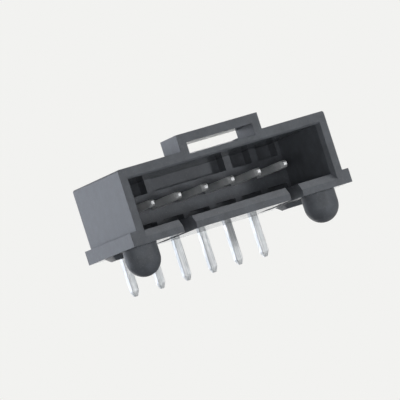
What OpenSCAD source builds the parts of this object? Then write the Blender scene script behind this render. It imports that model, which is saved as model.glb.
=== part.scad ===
// Right-angle shrouded pin header with one row of contacts, a latch loop and two board pegs.
// Millimetres, Z up. The origin is midway between the pegs on the face of the circuit board.
// The plug comes in along +Y.

/* [Contacts] */
// Distance from one contact to the next
pitch = 2.54; // [2.5:0.01:2.6]
// Side of the square contact wire
wire = 0.64; // [0.5:0.02:0.76]
// Chamfer along the four edges of the wire
wire_edge = 0.06; // [0.02:0.01:0.1]
// Height of the mating ends above the board
row_z = 3.58; // [3.4:0.02:3.8]
// Distance from the mouth back to the mating tips
tip_setback = 2.8; // [2.2:0.1:4]
// Distance from the rear face back to the middle of the solder tails
tail_setback = 1.8; // [1.3:0.1:3]
// Length of the solder tails below the board
tail_len = 3.18; // [2.4:0.02:4]
// Inside radius of the bend
bend_r = 0.5; // [0.3:0.05:0.8]
// Length of the taper at both tips
tip_len = 0.5; // [0.3:0.05:0.8]
// Side of the flat that is left on a tip
tip_flat = 0.28; // [0.2:0.02:0.4]

/* [Shroud] */
// Depth from the mouth to the rear face
body_d = 10; // [9.4:0.1:12]
// Height of the shroud without the loop
body_h = 6.38; // [6.2:0.02:7]
// Distance from an end contact to the outer side face
end_len = 3.45; // [3.3:0.05:4]
// Thickness of the side walls
side_wall = 0.9; // [0.7:0.05:1.1]
// Thickness of the top wall
top_wall = 0.92; // [0.8:0.02:1.1]
// Thickness of the floor
floor_wall = 1.14; // [1:0.02:1.4]
// Thickness of the back wall that holds the contacts
back_wall = 1.9; // [1.6:0.1:2.4]
// Height of the lead-in along the floor
lead_rise = 0.6; // [0.3:0.05:0.7]
// Width of the lead-in along the sides
lead_side = 0.25; // [0.1:0.05:0.4]
// Depth of the lead-in along the floor and the sides
lead_run = 0.45; // [0.3:0.05:0.8]
// Chamfer inside the upper edge of the mouth
mouth_edge = 0.15; // [0.05:0.05:0.3]
// Chamfer along the outer top edges
outer_edge = 0.12; // [0.05:0.01:0.25]

/* [Latch loop] */
// Width over the two posts
loop_w = 7.7; // [7:0.1:9]
// Depth from the mouth
loop_d = 3.33; // [2.5:0.01:4]
// Height above the top of the shroud
loop_rise = 1.42; // [1.2:0.01:2]
// Width of a post
loop_post = 0.75; // [0.5:0.05:1]
// Thickness of the bar across the posts
loop_bar = 0.78; // [0.5:0.02:0.9]
// Depth of the latch groove in the top wall
groove_dip = 0.35; // [0.2:0.05:0.5]
// Length over which the groove runs out behind the loop
groove_ramp = 1.2; // [0.8:0.1:1.6]

/* [Floor slots and core-outs] */
// Width of the polarising slots
slot_w = 1.2; // [0.8:0.05:1.6]
// Length of the polarising slots
slot_len = 7; // [5:0.1:7.4]
// Width of the ribs left between the core-outs
rib_w = 0.65; // [0.5:0.05:0.9]
// Depth of the core-outs in the back wall
core_d = 1.3; // [0.8:0.1:1.4]
// Height of the lower core-outs
core_low_h = 0.7; // [0.4:0.05:0.9]
// Height of the upper core-outs
core_top_h = 1.15; // [0.8:0.05:1.4]

/* [Board side] */
// Height of the feet that hold the shroud off the board
standoff = 0.38; // [0.2:0.02:0.6]
// Height of the side flanges
flange_h = 1.2; // [0.8:0.05:1.6]
// Width of the side flanges
flange_w = 0.6; // [0.4:0.05:0.8]
// Diameter of the board pegs
peg_d = 2.95; // [2.2:0.05:3.2]
// Length of the board pegs below the board
peg_len = 2.12; // [1.8:0.02:2.6]
// Distance from the mouth back to the pegs
peg_setback = 3.2; // [2.9:0.1:3.5]
// Distance from a side face in to the axis of its peg
peg_inset = 1.25; // [1.1:0.05:1.6]
// Width of the face that a foot stands on
foot_w = 2.7; // [1.5:0.1:3]
// Length of the face that a foot stands on
foot_len = 1.15; // [0.8:0.05:1.6]
// Width of the slope round a foot
foot_slope = 0.35; // [0.1:0.05:0.5]

/* [Hidden] */
$fn = 48;
count = 6;
half_w = (count - 1) / 2 * pitch + end_len;
front_y = -peg_setback;
rear_y = front_y + body_d;
wall_y = rear_y - back_wall;
top_z = standoff + body_h;
floor_z = standoff + floor_wall;
ceiling_z = top_z - top_wall;
cavity_w = half_w - side_wall;
slot_x = 2 * pitch;
core_w = pitch - rib_w;
peg_x = half_w - peg_inset;
peg_r = peg_d / 2;
foot_inset = 0.2;
foot_gap = 1.4;
foot_x = half_w - foot_inset - foot_w / 2;
foot_y = peg_r + foot_gap + foot_len / 2;
bend_c = bend_r + wire / 2;
tip_y = front_y + tip_setback;
tail_y = rear_y + tail_setback;
bend_y = tail_y - bend_c;
bend_z = row_z - bend_c;
over = 0.5;

// A profile drawn in Y and Z, run along X over the given width
module along_x(width) {
    rotate([90, 0, 90])
        linear_extrude(width, center = true)
            children();
}

// Outer block with the flange along both sides, run from the mouth to the rear face
module shroud_block() {
    translate([0, rear_y, 0])
        rotate([90, 0, 0])
            linear_extrude(body_d)
                polygon([
                    [-half_w - flange_w, standoff],
                    [half_w + flange_w, standoff],
                    [half_w + flange_w, standoff + flange_h],
                    [half_w, standoff + flange_h],
                    [half_w, top_z - outer_edge],
                    [half_w - outer_edge, top_z],
                    [-half_w + outer_edge, top_z],
                    [-half_w, top_z - outer_edge],
                    [-half_w, standoff + flange_h],
                    [-half_w - flange_w, standoff + flange_h]
                ]);
}

// Space for the plug and the back wall: a plan and a side profile, each with its lead-in, meet
module plug_cavity() {
    intersection() {
        linear_extrude(2 * top_z)
            polygon([
                [-cavity_w - lead_side * (1 + over / lead_run), front_y - over],
                [cavity_w + lead_side * (1 + over / lead_run), front_y - over],
                [cavity_w, front_y + lead_run],
                [cavity_w, rear_y + over],
                [-cavity_w, rear_y + over],
                [-cavity_w, front_y + lead_run]
            ]);
        along_x(4 * half_w)
            polygon([
                [front_y - over, floor_z - lead_rise * (1 + over / lead_run)],
                [front_y + lead_run, floor_z],
                [rear_y + over, floor_z],
                [rear_y + over, ceiling_z],
                [front_y + mouth_edge, ceiling_z],
                [front_y - over, ceiling_z + mouth_edge + over]
            ]);
    }
}

// Bridge over the latch, before its window is cut
module loop_block() {
    translate([-loop_w / 2, front_y, top_z - top_wall / 2])
        cube([loop_w, loop_d, loop_rise + top_wall / 2]);
}

// Window under the bridge, with the groove that runs out behind it
module loop_window() {
    low = top_z - groove_dip;
    high = top_z + loop_rise - loop_bar;
    along_x(loop_w - 2 * loop_post)
        polygon([
            [front_y - over, low],
            [front_y + loop_d, low],
            [front_y + loop_d + groove_ramp * (high - low) / groove_dip, high],
            [front_y - over, high]
        ]);
}

// Slots in the floor that let the plug's keys pass
module polarising_slots() {
    for (side = [-1, 1])
        translate([side * slot_x - slot_w / 2, front_y - over, 0])
            cube([slot_w, slot_len + over, floor_z + over]);
}

// Square holes that grip the contacts
module contact_holes() {
    for (i = [1 : count])
        translate([contact_x(i) - wire / 2, wall_y - over, row_z - wire / 2])
            cube([wire, back_wall + 2 * over, wire]);
}

// One core-out in the face of the back wall, from one height up to another
module core_out(x, width, low, high) {
    translate([x - width / 2, wall_y - over, low])
        cube([width, core_d + over, high - low]);
}

// Core-outs between the contacts: a full row over the floor, and one under the ceiling
// whose middle three join behind the latch
module core_outs() {
    top_low = ceiling_z - core_top_h;
    for (i = [0 : count])
        core_out((i - count / 2) * pitch, core_w, floor_z, floor_z + core_low_h);
    core_out(0, 2 * pitch + core_w, top_low, ceiling_z);
    for (side = [-1, 1], step = [2, 3])
        core_out(side * step * pitch, core_w, top_low, ceiling_z);
}

// Round peg with a domed end, standing in the floor
module peg() {
    rotate_extrude()
        intersection() {
            union() {
                translate([0, peg_r - peg_len])
                    square([peg_r, peg_len - peg_r + standoff + floor_wall / 2]);
                translate([0, peg_r - peg_len])
                    circle(peg_r);
            }
            translate([0, -peg_len])
                square([peg_d, peg_len + 2 * standoff + floor_wall]);
        }
}

// Outline of a foot over the given face, spreading up to the floor and running on into it
module foot_outline(face) {
    root = face / 2 + foot_slope;
    polygon([
        [-face / 2, 0],
        [face / 2, 0],
        [root, standoff],
        [root, standoff + floor_wall / 2],
        [-root, standoff + floor_wall / 2],
        [-root, standoff]
    ]);
}

// Low foot behind each peg, sloped on all four sides
module foot() {
    translate([foot_x, foot_y, 0])
        intersection() {
            rotate([90, 0, 0])
                linear_extrude(2 * (foot_len + foot_slope), center = true)
                    foot_outline(foot_w);
            along_x(2 * (foot_w + foot_slope))
                foot_outline(foot_len);
        }
}

// The moulding without its back wall
module housing() {
    color("DimGray")
        difference() {
            union() {
                shroud_block();
                loop_block();
                for (side = [-1, 1])
                    translate([side * peg_x, 0, 0])
                        peg();
                foot();
                mirror([1, 0, 0])
                    foot();
            }
            plug_cavity();
            loop_window();
            polarising_slots();
        }
}

// Back wall of the same moulding, drawn apart so that the space in front of it stays open
module contact_wall() {
    color("DimGray")
        difference() {
            translate([-cavity_w, wall_y, floor_z])
                cube([2 * cavity_w, back_wall, ceiling_z - floor_z]);
            contact_holes();
            core_outs();
        }
}

function contact_x(i) = (i - (count + 1) / 2) * pitch;

// Cross-section of the contact wire
module wire_section() {
    half = wire / 2;
    flat = half - wire_edge;
    polygon([
        [-flat, -half],
        [flat, -half],
        [half, -flat],
        [half, flat],
        [flat, half],
        [-flat, half],
        [-half, flat],
        [-half, -flat]
    ]);
}

// Outline that narrows to the tip's flat at its upper end
module tip_outline(length) {
    spread = wire - tip_flat / 2;
    polygon([
        [-spread, -over],
        [spread, -over],
        [spread, length - 2 * tip_len],
        [tip_flat / 2, length],
        [-tip_flat / 2, length],
        [-spread, length - 2 * tip_len]
    ]);
}

// Straight wire up along Z to a four-sided point
module pointed_wire(length) {
    intersection() {
        linear_extrude(length)
            wire_section();
        rotate([90, 0, 0])
            linear_extrude(2 * wire, center = true)
                tip_outline(length);
        rotate([90, 0, 90])
            linear_extrude(2 * wire, center = true)
                tip_outline(length);
    }
}

// One contact from the centre of its bend, so that both ends start right on the faces of the bend
module contact(i) {
    color("Silver")
        translate([contact_x(i), bend_y, bend_z])
            union() {
                rotate([90, 0, 90])
                    rotate_extrude(angle = 90)
                        translate([bend_c, 0])
                            wire_section();
                translate([0, 0, bend_c])
                    rotate([90, 0, 0])
                        pointed_wire(bend_y - tip_y);
                translate([0, bend_c, 0])
                    rotate([180, 0, 0])
                        pointed_wire(bend_z + tail_len);
            }
}

module contact_pin_1() contact(1);
module contact_pin_2() contact(2);
module contact_pin_3() contact(3);
module contact_pin_4() contact(4);
module contact_pin_5() contact(5);
module contact_pin_6() contact(6);

housing();
contact_wall();
contact_pin_1();
contact_pin_2();
contact_pin_3();
contact_pin_4();
contact_pin_5();
contact_pin_6();
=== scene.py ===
# Right-angle shrouded pin header: softened edges, finishes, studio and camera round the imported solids.
import math

import bmesh
import bpy
from mathutils import Matrix, Vector


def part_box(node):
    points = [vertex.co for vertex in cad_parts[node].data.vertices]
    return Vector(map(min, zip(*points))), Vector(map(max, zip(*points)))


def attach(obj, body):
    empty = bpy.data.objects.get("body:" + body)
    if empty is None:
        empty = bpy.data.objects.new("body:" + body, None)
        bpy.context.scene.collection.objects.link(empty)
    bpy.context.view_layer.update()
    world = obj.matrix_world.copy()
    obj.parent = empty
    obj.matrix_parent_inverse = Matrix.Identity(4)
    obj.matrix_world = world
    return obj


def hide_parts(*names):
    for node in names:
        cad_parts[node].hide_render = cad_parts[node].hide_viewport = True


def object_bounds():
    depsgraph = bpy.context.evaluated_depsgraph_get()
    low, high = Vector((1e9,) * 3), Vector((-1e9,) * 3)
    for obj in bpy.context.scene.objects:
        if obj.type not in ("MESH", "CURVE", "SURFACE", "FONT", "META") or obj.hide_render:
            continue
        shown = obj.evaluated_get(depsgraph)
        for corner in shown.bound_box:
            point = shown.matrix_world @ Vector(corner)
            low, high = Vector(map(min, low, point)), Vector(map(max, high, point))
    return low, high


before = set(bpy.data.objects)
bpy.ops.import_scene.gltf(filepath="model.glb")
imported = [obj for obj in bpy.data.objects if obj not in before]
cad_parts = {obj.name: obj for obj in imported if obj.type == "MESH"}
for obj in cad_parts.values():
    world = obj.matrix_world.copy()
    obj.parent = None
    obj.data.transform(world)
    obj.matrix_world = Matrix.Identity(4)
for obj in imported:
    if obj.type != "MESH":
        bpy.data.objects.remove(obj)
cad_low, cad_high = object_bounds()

MM = 0.001

# Rounding of the edges, in millimetres
MOULDED_EDGE = 0.05
WIRE_EDGE = 0.03

# Solids come as triangles. Points this near, in millimetres, are one, and so are faces this level
SAME_POINT = 0.0005
SAME_FACE = math.radians(0.5)

# An edge is sharp where its faces turn by more than this
SHARP_TURN = math.radians(20)

# An edge belongs to a seam when its middle is this near, in millimetres
SEAM_REACH = 0.01

# A face lies flat and looks down at the board when its normal's Z is below this
FLAT_DOWN = -0.9999

# From the middle of the floor to its sides, in metres
FLOOR_REACH = 0.6

# The picture's side in pixels and the camera's sensor in millimetres
PICTURE_SIDE = 400
SENSOR_WIDTH = 36


# Helpers

def linear(hex_colour):
    """An sRGB hex colour as the linear RGBA that shader sockets take."""
    parts = [int(hex_colour[start:start + 2], 16) / 255 for start in (1, 3, 5)]
    return [c / 12.92 if c <= 0.04045 else ((c + 0.055) / 1.055) ** 2.4 for c in parts] + [1.0]


def add(tree, kind, inputs=None, **settings):
    """Adds one shader node: settings are its properties, inputs its sockets' values or outputs to link."""
    node = tree.nodes.new(kind)
    for name, value in settings.items():
        setattr(node, name, value)
    for name, value in (inputs or {}).items():
        if isinstance(value, bpy.types.NodeSocket):
            tree.links.new(value, node.inputs[name])
        else:
            node.inputs[name].default_value = value
    return node


def per_mm(size):
    """Texture scale, on Object coordinates in metres, for a grain of that many millimetres."""
    return 1 / (size * MM)


def new_material(name):
    """An empty material and its node tree."""
    material = bpy.data.materials.new(name)
    material.use_nodes = True
    material.node_tree.nodes.clear()
    return material, material.node_tree


def put_in_scene(name, data):
    """A new object with that mesh, lamp or lens."""
    thing = bpy.data.objects.new(name, data)
    bpy.context.scene.collection.objects.link(thing)
    return thing


def mesh_object(shape, name, material):
    """The object that a finished bmesh becomes, at the origin."""
    mesh = bpy.data.meshes.new(name)
    shape.to_mesh(mesh)
    shape.free()
    mesh.materials.append(material)
    return put_in_scene(name, mesh)


def facing(azimuth, elevation):
    """Unit vector from the part to a viewer or lamp: azimuth 0 is before the mouth, 90 on the right."""
    turn = math.radians(azimuth)
    lift = math.radians(elevation)
    return Vector((math.sin(turn) * math.cos(lift), -math.cos(turn) * math.cos(lift), math.sin(lift)))


# Finishes

def glass_filled_nylon():
    """Charcoal nylon, moulded in a spark-eroded tool: a dead matt skin with faint clouding, pale fibre
    flecks and a fine grain that breaks up every highlight."""
    material, tree = new_material("glass_filled_nylon")
    place = add(tree, "ShaderNodeTexCoord").outputs["Object"]
    # The melt leaves clouds about 1 mm across where it flows
    clouds = add(tree, "ShaderNodeTexNoise", {
        "Vector": place, "Scale": per_mm(1.1), "Detail": 6.0, "Roughness": 0.65})
    cloud_mix = add(tree, "ShaderNodeMapRange", {
        "Value": clouds.outputs["Fac"], "From Min": 0.34, "From Max": 0.68})
    tint = add(tree, "ShaderNodeMix", {
        "Factor": cloud_mix.outputs["Result"], "A": linear("#4F5257"), "B": linear("#5C6066")},
        data_type="RGBA")
    # Real fibre ends are about 0.01 mm across; here 0.16 mm, so that they show at all
    fibres = add(tree, "ShaderNodeTexVoronoi", {
        "Vector": place, "Scale": per_mm(0.16), "Randomness": 1.0})
    fleck = add(tree, "ShaderNodeMapRange", {
        "Value": fibres.outputs["Distance"], "From Min": 0.10, "From Max": 0.26,
        "To Min": 0.28, "To Max": 0.0})
    colour = add(tree, "ShaderNodeMix", {
        "Factor": fleck.outputs["Result"], "A": tint.outputs["Result"], "B": linear("#8B8E92")},
        data_type="RGBA")
    # The tool is polished where the moulding lies flat over the board, so that side is smoother
    polish = add(tree, "ShaderNodeAttribute", attribute_name="faces_board")
    skin = add(tree, "ShaderNodeMapRange", {
        "Value": polish.outputs["Fac"], "To Min": 0.5, "To Max": 0.16})
    dulling = add(tree, "ShaderNodeMapRange", {
        "Value": clouds.outputs["Fac"], "From Min": 0.3, "From Max": 0.7, "To Min": 0.0, "To Max": 0.04})
    roughness = add(tree, "ShaderNodeMath", {
        0: dulling.outputs["Result"], 1: skin.outputs["Result"]}, operation="ADD")
    # The eroded grain is about 0.03 mm, drawn at 0.11 mm so that it shows
    grain = add(tree, "ShaderNodeTexNoise", {
        "Vector": place, "Scale": per_mm(0.11), "Detail": 3.0, "Roughness": 0.6})
    bump = add(tree, "ShaderNodeBump", {
        "Height": grain.outputs["Fac"], "Strength": 0.22, "Distance": 0.012 * MM})
    shader = add(tree, "ShaderNodeBsdfPrincipled", {
        "Base Color": colour.outputs["Result"], "Roughness": roughness.outputs["Value"],
        "Normal": bump.outputs["Normal"], "IOR": 1.5, "Specular IOR Level": 0.3})
    add(tree, "ShaderNodeOutputMaterial", {"Surface": shader.outputs["BSDF"]})
    return material


def tin_plated_wire():
    """Drawn square wire with matt tin plating: a pale silver, half mirror and half chalky, with draw lines
    along the wire and slightly duller patches where the plating is handled."""
    material, tree = new_material("tin_plated_wire")
    place = add(tree, "ShaderNodeTexCoord").outputs["Object"]
    # Draw lines lie about 0.04 mm apart; here 0.09 mm across the wire, so that they show, and 3 mm along it
    stretch = add(tree, "ShaderNodeMapping", {
        "Vector": place, "Scale": (per_mm(0.09), per_mm(3.0), per_mm(3.0))})
    lines = add(tree, "ShaderNodeTexNoise", {
        "Vector": stretch.outputs["Vector"], "Scale": 1.0, "Detail": 2.0})
    streaks = add(tree, "ShaderNodeMapRange", {
        "Value": lines.outputs["Fac"], "From Min": 0.36, "From Max": 0.64})
    tint = add(tree, "ShaderNodeMix", {
        "Factor": streaks.outputs["Result"], "A": linear("#CDD1D3"), "B": linear("#EEEFF0")},
        data_type="RGBA")
    # Dull patches are about as wide as the wire
    patches = add(tree, "ShaderNodeTexNoise", {
        "Vector": place, "Scale": per_mm(0.4), "Detail": 4.0})
    roughness = add(tree, "ShaderNodeMapRange", {
        "Value": patches.outputs["Fac"], "From Min": 0.3, "From Max": 0.7, "To Min": 0.49, "To Max": 0.65})
    bump = add(tree, "ShaderNodeBump", {
        "Height": lines.outputs["Fac"], "Strength": 0.06, "Distance": 0.01 * MM})
    shader = add(tree, "ShaderNodeBsdfPrincipled", {
        "Base Color": tint.outputs["Result"], "Metallic": 0.5, "Roughness": roughness.outputs["Result"],
        "Normal": bump.outputs["Normal"]})
    add(tree, "ShaderNodeOutputMaterial", {"Surface": shader.outputs["BSDF"]})
    return material


# Pieces

def sharp_edges(shape, on_seam):
    """The sharp edges of a shape in two lists: those whose middle lies on the seam, and the rest."""
    seam_edges = []
    free_edges = []
    for edge in shape.edges:
        if edge.is_manifold and edge.calc_face_angle() > SHARP_TURN:
            middle = (edge.verts[0].co + edge.verts[1].co) / 2
            found = seam_edges if on_seam(middle) else free_edges
            found.append(edge)
    return seam_edges, free_edges


def softened(node, name, rounding, material, on_seam=lambda point: False):
    """A copy of a solid with its sharp edges rounded, standing in its place. Edges on the seam stay sharp,
    in shape and in shading."""
    shape = bmesh.new()
    shape.from_mesh(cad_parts[node].data)
    faces_board = shape.faces.layers.float.new("faces_board")
    # Shaped in millimetres, where the operators' own tolerances are small beside the part
    bmesh.ops.scale(shape, vec=Vector((1 / MM, 1 / MM, 1 / MM)), verts=shape.verts)
    bmesh.ops.remove_doubles(shape, verts=shape.verts, dist=SAME_POINT)
    bmesh.ops.dissolve_limit(shape, angle_limit=SAME_FACE, verts=shape.verts, edges=shape.edges)
    free_edges = sharp_edges(shape, on_seam)[1]
    bmesh.ops.bevel(shape, geom=free_edges, offset=rounding, offset_type="OFFSET", affect="EDGES",
                    segments=2, profile=0.5, material=-1, clamp_overlap=True)
    shape.normal_update()
    for face in shape.faces:
        face.smooth = True
        face[faces_board] = float(face.normal.z < FLAT_DOWN)
    # The rounding makes edges anew, so those on the seam are looked for again
    for edge in sharp_edges(shape, on_seam)[0]:
        edge.smooth = False
    bmesh.ops.scale(shape, vec=Vector((MM, MM, MM)), verts=shape.verts)
    piece = mesh_object(shape, name, material)
    flats = piece.modifiers.new("level_flats", "WEIGHTED_NORMAL")
    flats.weight = 100
    flats.keep_sharp = True
    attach(piece, "root")
    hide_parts(node)
    return piece


wall_low, wall_high = [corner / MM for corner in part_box("contact_wall")]


def shroud_seam(point):
    """Whether a point of the shroud lies where the back wall meets it in the rear face."""
    within_width = abs(point.x) < wall_high.x + SEAM_REACH
    within_height = wall_low.z - SEAM_REACH < point.z < wall_high.z + SEAM_REACH
    return point.y > wall_high.y - SEAM_REACH and within_width and within_height


def back_wall_seam(point):
    """Whether a point of the back wall lies on its sides, top or bottom, where the shroud takes over."""
    within_width = abs(point.x) <= wall_high.x - SEAM_REACH
    within_height = wall_low.z + SEAM_REACH < point.z < wall_high.z - SEAM_REACH
    return not (within_width and within_height)


# Shroud and back wall are one moulding, so no edge shows where the two solids meet
nylon = glass_filled_nylon()
tin = tin_plated_wire()
pieces = [
    softened("housing", "moulded_shroud", MOULDED_EDGE, nylon, shroud_seam),
    softened("contact_wall", "moulded_back_wall", MOULDED_EDGE, nylon, back_wall_seam),
]
contact_count = sum(node.startswith("contact_pin_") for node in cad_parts)
for number in range(1, contact_count + 1):
    contact = softened(f"contact_pin_{number}", f"plated_contact_{number}", WIRE_EDGE, tin)
    pieces.append(contact)

# Only the part casts shadows, so that a lamp lower than the floor reaches it
shadow_casters = bpy.data.collections.new("shadow_casters")
for piece in pieces:
    shadow_casters.objects.link(piece)


# Studio

def light_paths(tree):
    """Two outputs: 1 on rays from the camera, and 1 on rays off a mirroring or through a clear surface."""
    path = add(tree, "ShaderNodeLightPath").outputs
    mirrored = add(tree, "ShaderNodeMath", {
        0: path["Is Glossy Ray"], 1: path["Is Transmission Ray"]}, operation="MAXIMUM")
    return path["Is Camera Ray"], mirrored.outputs["Value"]


def pale_paper():
    """Smooth uncoated paper: an even pale grey with a faint tooth. It is clear from below, because the
    camera stands lower than the floor."""
    material, tree = new_material("pale_paper")
    place = add(tree, "ShaderNodeTexCoord").outputs["Object"]
    # The tooth is about 0.2 mm, drawn at 0.6 mm so that it shows
    tooth = add(tree, "ShaderNodeTexNoise", {
        "Vector": place, "Scale": per_mm(0.6), "Detail": 3.0})
    tint = add(tree, "ShaderNodeMix", {
        "Factor": tooth.outputs["Fac"], "A": linear("#E6E6E4"), "B": linear("#EDEDEB")}, data_type="RGBA")
    paper = add(tree, "ShaderNodeBsdfPrincipled", {
        "Base Color": tint.outputs["Result"], "Roughness": 0.9, "Specular IOR Level": 0.2})
    # A glow that only the camera and mirroring surfaces see keeps the paper pale without lighting the part.
    # Mirroring surfaces see more of it behind the part, where it whitens the polished underside
    from_camera, mirrored = light_paths(tree)
    spot = add(tree, "ShaderNodeSeparateXYZ", {"Vector": place})
    behind = add(tree, "ShaderNodeMapRange", {
        "Value": spot.outputs["Y"], "From Min": 10 * MM, "From Max": 50 * MM, "To Min": 0.1, "To Max": 0.9})
    sheen = add(tree, "ShaderNodeMath", {0: mirrored, 1: behind.outputs["Result"]}, operation="MULTIPLY")
    strength = add(tree, "ShaderNodeMath", {
        0: from_camera, 1: 0.3, 2: sheen.outputs["Value"]}, operation="MULTIPLY_ADD")
    glow = add(tree, "ShaderNodeEmission", {
        "Color": tint.outputs["Result"], "Strength": strength.outputs["Value"]})
    lit = add(tree, "ShaderNodeAddShader", {0: paper.outputs["BSDF"], 1: glow.outputs["Emission"]})
    clear = add(tree, "ShaderNodeBsdfTransparent")
    from_below = add(tree, "ShaderNodeNewGeometry").outputs["Backfacing"]
    surface = add(tree, "ShaderNodeMixShader", {
        0: from_below, 1: lit.outputs["Shader"], 2: clear.outputs["BSDF"]})
    add(tree, "ShaderNodeOutputMaterial", {"Surface": surface.outputs["Shader"]})
    return material


def studio_floor(height):
    """A wide sheet of paper under the part, which takes its shadow."""
    shape = bmesh.new()
    bmesh.ops.create_grid(shape, x_segments=1, y_segments=1, size=FLOOR_REACH)
    bmesh.ops.translate(shape, vec=Vector((0, 0, height)), verts=shape.verts)
    mesh_object(shape, "studio_floor", pale_paper())


def pale_world(sheen_azimuth):
    """A pale studio all round. Mirroring surfaces see it lighter on the side of sheen_azimuth."""
    world = bpy.data.worlds.new("pale_studio")
    bpy.context.scene.world = world
    world.use_nodes = True
    tree = world.node_tree
    tree.nodes.clear()
    from_camera, mirrored = light_paths(tree)
    way = add(tree, "ShaderNodeTexCoord").outputs["Generated"]
    towards = add(tree, "ShaderNodeVectorMath", {
        0: way, 1: facing(sheen_azimuth, 0)}, operation="DOT_PRODUCT")
    sheen = add(tree, "ShaderNodeMapRange", {
        "Value": towards.outputs["Value"], "From Min": 0.3, "From Max": 0.8, "To Min": 0.2, "To Max": 0.9})
    seen = add(tree, "ShaderNodeMix", {"Factor": mirrored, "A": 0.08, "B": sheen.outputs["Result"]})
    strength = add(tree, "ShaderNodeMath", {0: seen.outputs["Result"], 1: from_camera}, operation="MAXIMUM")
    pale = add(tree, "ShaderNodeBackground", {
        "Color": linear("#F2F2F0"), "Strength": strength.outputs["Value"]})
    add(tree, "ShaderNodeOutputWorld", {"Surface": pale.outputs["Background"]})


def soft_panel(name, azimuth, elevation, distance, size, level, colour="#FFFFFF"):
    """A square lamp that faces the part, its distance and size in metres. At level 1 a face square to it
    renders in the colour that is written."""
    lamp = bpy.data.lights.new(name, "AREA")
    lamp.shape = "SQUARE"
    lamp.size = size
    lamp.energy = level * (math.pi * distance) ** 2
    lamp.color = linear(colour)[:3]
    rig = put_in_scene(name, lamp)
    away = facing(azimuth, elevation)
    middle = (cad_low + cad_high) / 2
    rig.matrix_world = Matrix.LocRotScale(middle + away * distance, away.to_track_quat("Z", "Y"), None)
    rig.light_linking.blocker_collection = shadow_casters


def photo_camera(azimuth, elevation, roll, distance, aim_mm, pixels_per_mm):
    """Camera at the photograph's viewing angle. pixels_per_mm is the picture's scale at the aim point."""
    tilt = math.radians(roll)
    back = facing(azimuth, elevation)
    level = facing(azimuth + 90, 0)
    upright = back.cross(level)
    right = level * math.cos(tilt) - upright * math.sin(tilt)
    up = level * math.sin(tilt) + upright * math.cos(tilt)
    lens = bpy.data.cameras.new("photo_camera")
    lens.sensor_width = SENSOR_WIDTH
    lens.lens = pixels_per_mm / MM * distance * SENSOR_WIDTH / PICTURE_SIDE
    camera = put_in_scene("photo_camera", lens)
    turn = Matrix((right, up, back)).transposed().to_4x4()
    camera.matrix_world = Matrix.Translation(Vector(aim_mm) * MM + back * distance) @ turn
    bpy.context.scene.camera = camera


studio_floor(cad_low.z)
pale_world(sheen_azimuth=-145)
# Behind on the left: a cool sheen on the left faces
soft_panel("sheen_left", azimuth=-150, elevation=12, distance=0.15, size=0.10, level=0.53, colour="#EAF1FF")
# Above on the right: the top and the lead-in along the floor's front edge
soft_panel("high_right", azimuth=60, elevation=60, distance=0.15, size=0.05, level=0.40)
# Low on the right: the rims and, through the mouth, the left half of the back wall
soft_panel("low_right", azimuth=30, elevation=-5, distance=0.15, size=0.02, level=0.27)
# Beside the camera: a low fill on all that it sees
soft_panel("beside_camera", azimuth=-25, elevation=-3, distance=0.20, size=0.04, level=0.19)
# Low on the left: the right wall of the mouth and the left sides of the pegs
soft_panel("side_left", azimuth=-50, elevation=-3, distance=0.15, size=0.03, level=0.07)
# Behind on the right: the rear and the right side
soft_panel("rear_right", azimuth=140, elevation=22, distance=0.15, size=0.08, level=0.45)
# Below and behind: the slopes of the feet and the rear of the tails
soft_panel("low_rear", azimuth=180, elevation=-20, distance=0.12, size=0.05, level=0.15)
# Angles, aim and scale as fitted to the tips and the tails of the contacts in the photograph
photo_camera(azimuth=-25.23, elevation=-2.44, roll=17.71, distance=0.32, aim_mm=(-1.12, 1.90, 2.77),
             pixels_per_mm=12.0)
bpy.context.scene.view_settings.view_transform = "Standard"
